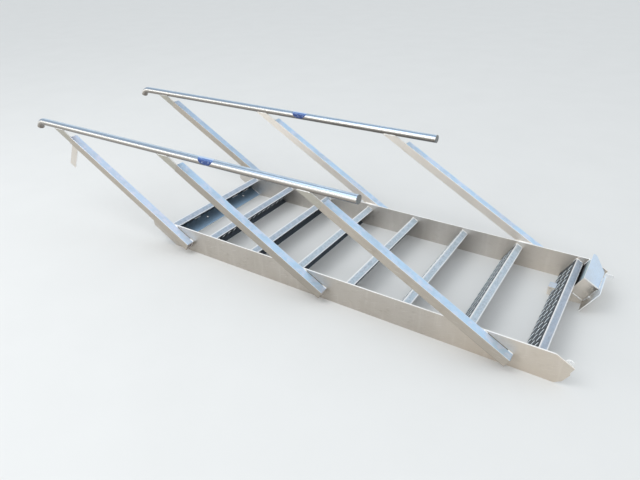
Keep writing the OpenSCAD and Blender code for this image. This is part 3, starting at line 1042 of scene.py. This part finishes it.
# %% Weld the foot bracket
BOX_WIDTH = 0.162
SOLE_OUT = 0.062  # how far the sole plate reaches past the box
SOLE_WIDTH = 0.141
GROUND_UP = LAST_UP - 0.127
EYE_HEIGHT = 0.030
box_y = HALF - BOX_WIDTH
box_back = TOE_LEVEL - BOX_DEEP
sole_y = box_y - SOLE_OUT + SOLE_WIDTH
eye_up = GROUND_UP + EYE_HEIGHT
by_bar = [box_back + 0.003, TOE_LEVEL - 0.004]
foot_paths = [
    in_use(box_back, box_y + 0.0004, [BOX_TOP - 0.016, BOX_LOW + 0.004]),
    in_use([box_back + 0.004, TOE_LEVEL - 0.006], box_y - 0.0008, BOX_LOW + 0.0008),
    in_use(by_bar, HALF - 0.0008, BOX_TOP + 0.0008),
    in_use(by_bar, HALF - 0.0008, BOX_LOW - 0.0008),
    in_use(TOE_LEVEL + 0.0002, box_y - 0.0002, [BOX_TOP - 0.003, BOX_LOW + 0.004]),
    in_use(TOE_LEVEL - 0.0008, HALF + STRINGER_T + 0.0008, [BOX_TOP - 0.012, BOX_LOW + 0.030]),
    in_use(TOE_LEVEL + 0.0044, [box_y + 0.004, sole_y - 0.002], BOX_LOW + 0.0006),
    in_use(TOE_LEVEL - 0.001, -HALF + 0.0046, [eye_up - 0.012, eye_up + 0.012]),
]
weld_piece("foot_welds", foot_paths, 0.0027)

# %% [markdown]
# ## Ridges on the treads
# Between the columns of slots the sheet is pressed up into short slanted ridges that grip a wet
# shoe, and a highlight is painted on their crowns in their finish. Across, a ridge is half an ellipse;
# along it the height follows a half cosine to a low power, so that it rises fast and stays nearly
# level. All ridges of a tread make one object, or there would be hundreds.

# %% Raised ridges
SLOT_ROWS = [2] + [3] * (TREADS - 1)
SLOT_PITCH = 0.040  # between columns of slots
COLUMNS = 15
RIDGE_LENGTH = 0.024
RIDGE_SLANT = 0.0195
RIDGE_WIDTH = 0.0052
RIDGE_HEIGHT = 0.0028
RIDGE_BEHIND = 0.0085  # from a row's middle back to its ridges
RIDGE_CLEAR = 0.0125  # least distance from its middle to the rear edge
RIDGE_GRID = (7, 5)  # cuts along a ridge, points across it


def ridge_places(depth, rows):
    """Middle of each ridge as (level, y): between two columns of slots, a little behind a row."""
    y = (np.arange(COLUMNS) - COLUMNS // 2) * SLOT_PITCH
    level = -(np.arange(rows) + 0.5) * depth / rows - RIDGE_BEHIND
    level = np.maximum(level, RIDGE_CLEAR - depth)
    return np.stack([grid.ravel() for grid in np.meshgrid(level, y, indexing="ij")], axis=1)


def ridges(tread, depth, rows):
    """Points of all ridges of a tread: along a ridge t in -1..1, across it an angle a in 0..pi.
    (level, y) = t/2 (length, slant) + cos(a) width/2 times the unit direction square to that;
    lift = height sin(a) cos(pi t/2)^0.35."""
    cuts, points_across = RIDGE_GRID
    t = np.linspace(-1.0, 1.0, cuts)[:, None]
    a = np.linspace(0.0, math.pi, points_across)[None, :]
    crest = np.maximum(np.cos(t * math.pi / 2), 0.0) ** 0.35
    square = np.array([RIDGE_SLANT, -RIDGE_LENGTH]) / math.hypot(RIDGE_SLANT, RIDGE_LENGTH)
    level = t * RIDGE_LENGTH / 2 + np.cos(a) * square[0] * RIDGE_WIDTH / 2
    y = t * RIDGE_SLANT / 2 + np.cos(a) * square[1] * RIDGE_WIDTH / 2
    lift = RIDGE_HEIGHT * crest * np.sin(a) - 0.0003
    middles = ridge_places(depth, rows)
    points = [in_use(m[0] + level, m[1] + y, lift, tread).reshape(-1, 3) for m in middles]
    size = cuts * points_across
    faces = [grid_faces(cuts, points_across, k * size, closed=False) for k in range(len(middles))]
    return np.concatenate(points), np.concatenate(faces)[:, ::-1]


for tread, (depth, rows) in enumerate(zip(TREAD_DEPTHS, SLOT_ROWS), 1):
    points, faces = ridges(tread, depth, rows)
    make_piece(f"tread_ridges_{tread}", points, faces, ridge_metal)

# %% [markdown]
# ## Blue patches on the rails
# Each rail carries an oval patch of blue film, wrapped over the tube. A colour on the rail itself
# would have no edge, so the film is a thin surface: an oval with one coordinate along the tube and
# the other an angle round it.

# %% Wrapped patches
PATCH_HALF_LENGTH = 0.043
PATCH_HALF_ARC = 0.031
PATCH_R = 0.0182  # 0.2 mm more than the tube's radius
PATCH_LEAN = -0.40  # radians round the tube, towards the camera's side
PATCH_GRID = (9, 64)


def wrapped_patch(name, x, y):
    """Oval of rings (r, t) on the rail: along = half length r cos t, arc = half arc r sin t.
    The arc over the radius is the angle round the tube."""
    radii = np.linspace(0.0, 1.0, PATCH_GRID[0])
    turns = np.linspace(0.0, 2 * math.pi, PATCH_GRID[1], endpoint=False)
    r, t = np.meshgrid(radii, turns, indexing="ij")
    ragged = 1.0 + 0.012 * np.sin(5 * t + 1.0) + 0.008 * np.sin(11 * t)
    along = PATCH_HALF_LENGTH * r * ragged * np.cos(t)
    turn = PATCH_HALF_ARC * r * ragged * np.sin(t) / PATCH_R + PATCH_LEAN
    lift = PATCH_R + 0.0002 * (1 - r)
    points = np.stack([x + along, y + lift * np.sin(turn), RAIL_Z + lift * np.cos(turn)], axis=-1)
    make_piece(name, points.reshape(-1, 3), grid_faces(*PATCH_GRID), patch)


wrapped_patch("patch_left", NOSING_X + 0.351, -RAIL_Y)
wrapped_patch("patch_right", NOSING_X + 0.334, RAIL_Y)

# %% [markdown]
# ## Floor
# The floor is one large square, wide enough to fill the picture. It isn't part of the stair.

# %% A pale floor
FLOOR = 30.0
floor_mesh = bpy.data.meshes.new("floor")
corners = [(-FLOOR, -FLOOR, 0.0), (FLOOR, -FLOOR, 0.0), (FLOOR, FLOOR, 0.0), (-FLOOR, FLOOR, 0.0)]
floor_mesh.from_pydata(corners, [], [(0, 1, 2, 3)])
floor_mesh.materials.append(floor_finish.material)
floor = bpy.data.objects.new("floor", floor_mesh)
bpy.context.scene.collection.objects.link(floor)
print("the floor is", 2 * FLOOR, "m wide")

# %% [markdown]
# ## Sky and lamps
# The sky is white at the horizon and a little bluer overhead, as on a bright overcast day, which
# adds to the cool tone painted on the metal's upper faces. A long low strip lamp draws one highlight
# along tubes and edges, and a wide lamp gives soft shadows. Together they light the floor at about
# level 1, so a colour renders about as it is written.

# %% Light the scene
world = bpy.data.worlds.new("sky")
bpy.context.scene.world = world
world.use_nodes = True
sky = world.node_tree
toward = sky.nodes.new("ShaderNodeTexCoord")
height = sky.nodes.new("ShaderNodeSeparateXYZ")
tint = sky.nodes.new("ShaderNodeMix")
tint.data_type = "RGBA"
tint.inputs[6].default_value = (1.0, 0.99, 0.97, 1.0)
tint.inputs[7].default_value = (0.87, 0.94, 1.0, 1.0)
sky.links.new(toward.outputs["Generated"], height.inputs["Vector"])
sky.links.new(height.outputs["Z"], tint.inputs[0])
sky.links.new(tint.outputs[2], sky.nodes["Background"].inputs["Color"])
sky.nodes["Background"].inputs["Strength"].default_value = 0.9


def lamp(name, place, target, size, power):
    """A rectangular lamp at a place, turned so that its light goes to the target."""
    data = bpy.data.lights.new(name, "AREA")
    data.shape = "RECTANGLE"
    data.size, data.size_y = size
    data.energy = power
    obj = bpy.data.objects.new(name, data)
    bpy.context.scene.collection.objects.link(obj)
    look = Vector(target) - Vector(place)
    turn = look.to_track_quat("-Z", "Y").to_matrix().to_4x4()
    obj.matrix_world = Matrix.Translation(place) @ turn
    print(name, power, "watts")


lamp("high_lamp", (-1.5, -2.5, 4.5), (0.2, 0.0, 0.2), (3.0, 3.0), 65.0)
lamp("strip_lamp", (-4.3, -6.0, 2.5), (-4.3, 0.0, 0.3), (19.0, 0.9), 115.0)
bpy.context.scene.view_settings.view_transform = "Standard"

# %% [markdown]
